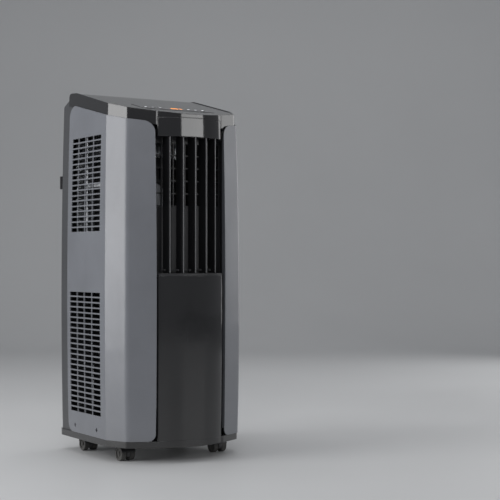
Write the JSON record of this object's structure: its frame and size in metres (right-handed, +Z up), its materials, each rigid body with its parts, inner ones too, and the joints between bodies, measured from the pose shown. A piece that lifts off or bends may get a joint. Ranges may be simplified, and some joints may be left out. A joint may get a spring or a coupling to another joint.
{
  "type": "dehumidifier",
  "caption": "Tall cabinet dehumidifier on swivel casters, with slotted side panels, an upright louvered outlet, a sloped key panel and a rear hose collar.",
  "frame": {"origin": "on the floor under the middle of the bounding box", "axes": "+Z up, the front with the louvers faces -Y, +X to the right seen from the front"},
  "size_m": [0.316, 0.35, 0.77],
  "materials": {
    "grey_panel": "fine-textured moulded grey",
    "gloss_black": "high-gloss black",
    "dark_shell": "dark grey, fine texture",
    "black_plastic": "satin black",
    "display": "smoked display window, lit orange",
    "galvanised": "zinc-coated sheet",
    "aluminium_fin": "bare fins",
    "copper": "drawn copper tube",
    "compressor_paint": "black enamel",
    "motor_steel": "grey paint",
    "steel": "turned steel",
    "white_plastic": "natural moulded",
    "rubber": "soft black",
    "board": "coated board"
  },
  "bodies": {
    "cabinet": {"base_pan": "gloss_black", "air_duct": "black_plastic", "left_side_panel": "grey_panel", "right_side_panel": "grey_panel", "rear_housing": "dark_shell", "side_screws": "steel", "rear_screws": "steel", "exhaust_collar": "black_plastic", "left_cord_hook": "black_plastic", "right_cord_hook": "black_plastic", "cord_gland": "rubber", "top_cover": "gloss_black", "control_panel": "gloss_black", "display_window": "display", "control_board": "board", "front_band": "gloss_black", "outlet_duct": "black_plastic", "outlet_guard": "black_plastic", "front_lower_panel": "gloss_black", "louver_motor": "white_plastic", "drip_tray": "white_plastic", "left_inner_frame": "galvanised", "right_inner_frame": "galvanised", "evaporator_coil": "aluminium_fin", "condenser_coil": "aluminium_fin", "blower_casing": "black_plastic", "blower_motor": "motor_steel", "fan_shroud": "black_plastic", "fan_motor": "motor_steel", "compressor": "compressor_paint", "refrigerant_pipes": "copper", "power_box": "black_plastic"},
    "intake_cover": {"intake_cover": "dark_shell", "air_filter": "white_plastic"},
    "upper_drain_plug": {"upper_drain_plug": "rubber"},
    "lower_drain_plug": {"lower_drain_plug": "rubber"},
    "tie_bar": {"louver_tie_bar": "black_plastic"},
    "blower": {"blower_wheel": "black_plastic", "blower_shaft": "steel"},
    "fan": {"condenser_fan": "black_plastic", "fan_shaft": "steel"},
    "louver_1": {"louver_blade_1": "black_plastic"},
    "louver_2": {"louver_blade_2": "black_plastic"},
    "louver_3": {"louver_blade_3": "black_plastic"},
    "louver_4": {"louver_blade_4": "black_plastic"},
    "louver_5": {"louver_blade_5": "black_plastic"},
    "key_1": {"key_1": "gloss_black"},
    "key_2": {"key_2": "gloss_black"},
    "key_3": {"key_3": "gloss_black"},
    "key_4": {"key_4": "gloss_black"},
    "key_5": {"key_5": "gloss_black"},
    "key_6": {"key_6": "gloss_black"},
    "caster_1": {"caster_1_fork": "black_plastic"},
    "caster_1_roller": {"caster_1_wheels": "rubber"},
    "caster_2": {"caster_2_fork": "black_plastic"},
    "caster_2_roller": {"caster_2_wheels": "rubber"},
    "caster_3": {"caster_3_fork": "black_plastic"},
    "caster_3_roller": {"caster_3_wheels": "rubber"},
    "caster_4": {"caster_4_fork": "black_plastic"},
    "caster_4_roller": {"caster_4_wheels": "rubber"}
  },
  "joints": [
    {"name": "louver_3_swing", "type": "hinge", "parent": "cabinet", "child": "louver_3", "pos_m": [0, -0.1595, 0.384], "axis": [0, 0, 1], "range_deg": [-35, 35]},
    {"name": "louver_1_swing", "type": "hinge", "parent": "cabinet", "child": "louver_1", "pos_m": [-0.0532, -0.14858, 0.384], "axis": [0, 0, 1], "range_deg": [-35, 35]},
    {"name": "louver_2_swing", "type": "hinge", "parent": "cabinet", "child": "louver_2", "pos_m": [-0.0266, -0.15685, 0.384], "axis": [0, 0, 1], "range_deg": [-35, 35]},
    {"name": "louver_4_swing", "type": "hinge", "parent": "cabinet", "child": "louver_4", "pos_m": [0.0266, -0.15685, 0.384], "axis": [0, 0, 1], "range_deg": [-35, 35]},
    {"name": "louver_5_swing", "type": "hinge", "parent": "cabinet", "child": "louver_5", "pos_m": [0.0532, -0.14858, 0.384], "axis": [0, 0, 1], "range_deg": [-35, 35]},
    {"name": "tie_bar_turn", "type": "hinge", "parent": "louver_3", "child": "tie_bar", "pos_m": [0, -0.1475, 0.391], "axis": [0, 0, 1], "range_deg": [-35, 35]},
    {"name": "key_1_press", "type": "slide", "parent": "cabinet", "child": "key_1", "axis": [0, 0.2352, -0.9719], "range_m": [0, 0.001], "stiffness_N_per_m": 400},
    {"name": "key_2_press", "type": "slide", "parent": "cabinet", "child": "key_2", "axis": [0, 0.2352, -0.9719], "range_m": [0, 0.001], "stiffness_N_per_m": 400},
    {"name": "key_3_press", "type": "slide", "parent": "cabinet", "child": "key_3", "axis": [0, 0.2352, -0.9719], "range_m": [0, 0.001], "stiffness_N_per_m": 400},
    {"name": "key_4_press", "type": "slide", "parent": "cabinet", "child": "key_4", "axis": [0, 0.2352, -0.9719], "range_m": [0, 0.001], "stiffness_N_per_m": 400},
    {"name": "key_5_press", "type": "slide", "parent": "cabinet", "child": "key_5", "axis": [0, 0.2352, -0.9719], "range_m": [0, 0.001], "stiffness_N_per_m": 400},
    {"name": "key_6_press", "type": "slide", "parent": "cabinet", "child": "key_6", "axis": [0, 0.2352, -0.9719], "range_m": [0, 0.001], "stiffness_N_per_m": 400},
    {"name": "intake_cover_pull", "type": "slide", "parent": "cabinet", "child": "intake_cover", "axis": [0, 1, 0], "range_m": [0, 0.06]},
    {"name": "upper_drain_plug_pull", "type": "slide", "parent": "cabinet", "child": "upper_drain_plug", "axis": [0, 1, 0], "range_m": [0, 0.03]},
    {"name": "lower_drain_plug_pull", "type": "slide", "parent": "cabinet", "child": "lower_drain_plug", "axis": [0, 1, 0], "range_m": [0, 0.03]},
    {"name": "blower_spin", "type": "hinge", "parent": "cabinet", "child": "blower", "pos_m": [0, 0.07, 0.545], "axis": [0, 1, 0], "continuous": true},
    {"name": "fan_spin", "type": "hinge", "parent": "cabinet", "child": "fan", "pos_m": [0, 0.12, 0.29], "axis": [0, 1, 0], "continuous": true},
    {"name": "caster_1_swivel", "type": "hinge", "parent": "cabinet", "child": "caster_1", "pos_m": [-0.11, -0.083, 0.0318], "axis": [0, 0, 1], "continuous": true},
    {"name": "caster_1_roll", "type": "hinge", "parent": "caster_1", "child": "caster_1_roller", "pos_m": [-0.11, -0.074, 0.015], "axis": [1, 0, 0], "continuous": true},
    {"name": "caster_2_swivel", "type": "hinge", "parent": "cabinet", "child": "caster_2", "pos_m": [-0.11, 0.09, 0.0318], "axis": [0, 0, 1], "continuous": true},
    {"name": "caster_2_roll", "type": "hinge", "parent": "caster_2", "child": "caster_2_roller", "pos_m": [-0.11, 0.099, 0.015], "axis": [1, 0, 0], "continuous": true},
    {"name": "caster_3_swivel", "type": "hinge", "parent": "cabinet", "child": "caster_3", "pos_m": [0.11, -0.083, 0.0318], "axis": [0, 0, 1], "continuous": true},
    {"name": "caster_3_roll", "type": "hinge", "parent": "caster_3", "child": "caster_3_roller", "pos_m": [0.11, -0.074, 0.015], "axis": [1, 0, 0], "continuous": true},
    {"name": "caster_4_swivel", "type": "hinge", "parent": "cabinet", "child": "caster_4", "pos_m": [0.11, 0.09, 0.0318], "axis": [0, 0, 1], "continuous": true},
    {"name": "caster_4_roll", "type": "hinge", "parent": "caster_4", "child": "caster_4_roller", "pos_m": [0.11, 0.099, 0.015], "axis": [1, 0, 0], "continuous": true}
  ],
  "couplings": [
    {"joint": "louver_1_swing", "follows": "louver_3_swing", "ratio": 1},
    {"joint": "louver_2_swing", "follows": "louver_3_swing", "ratio": 1},
    {"joint": "louver_4_swing", "follows": "louver_3_swing", "ratio": 1},
    {"joint": "louver_5_swing", "follows": "louver_3_swing", "ratio": 1},
    {"joint": "tie_bar_turn", "follows": "louver_3_swing", "ratio": -1}
  ]
}
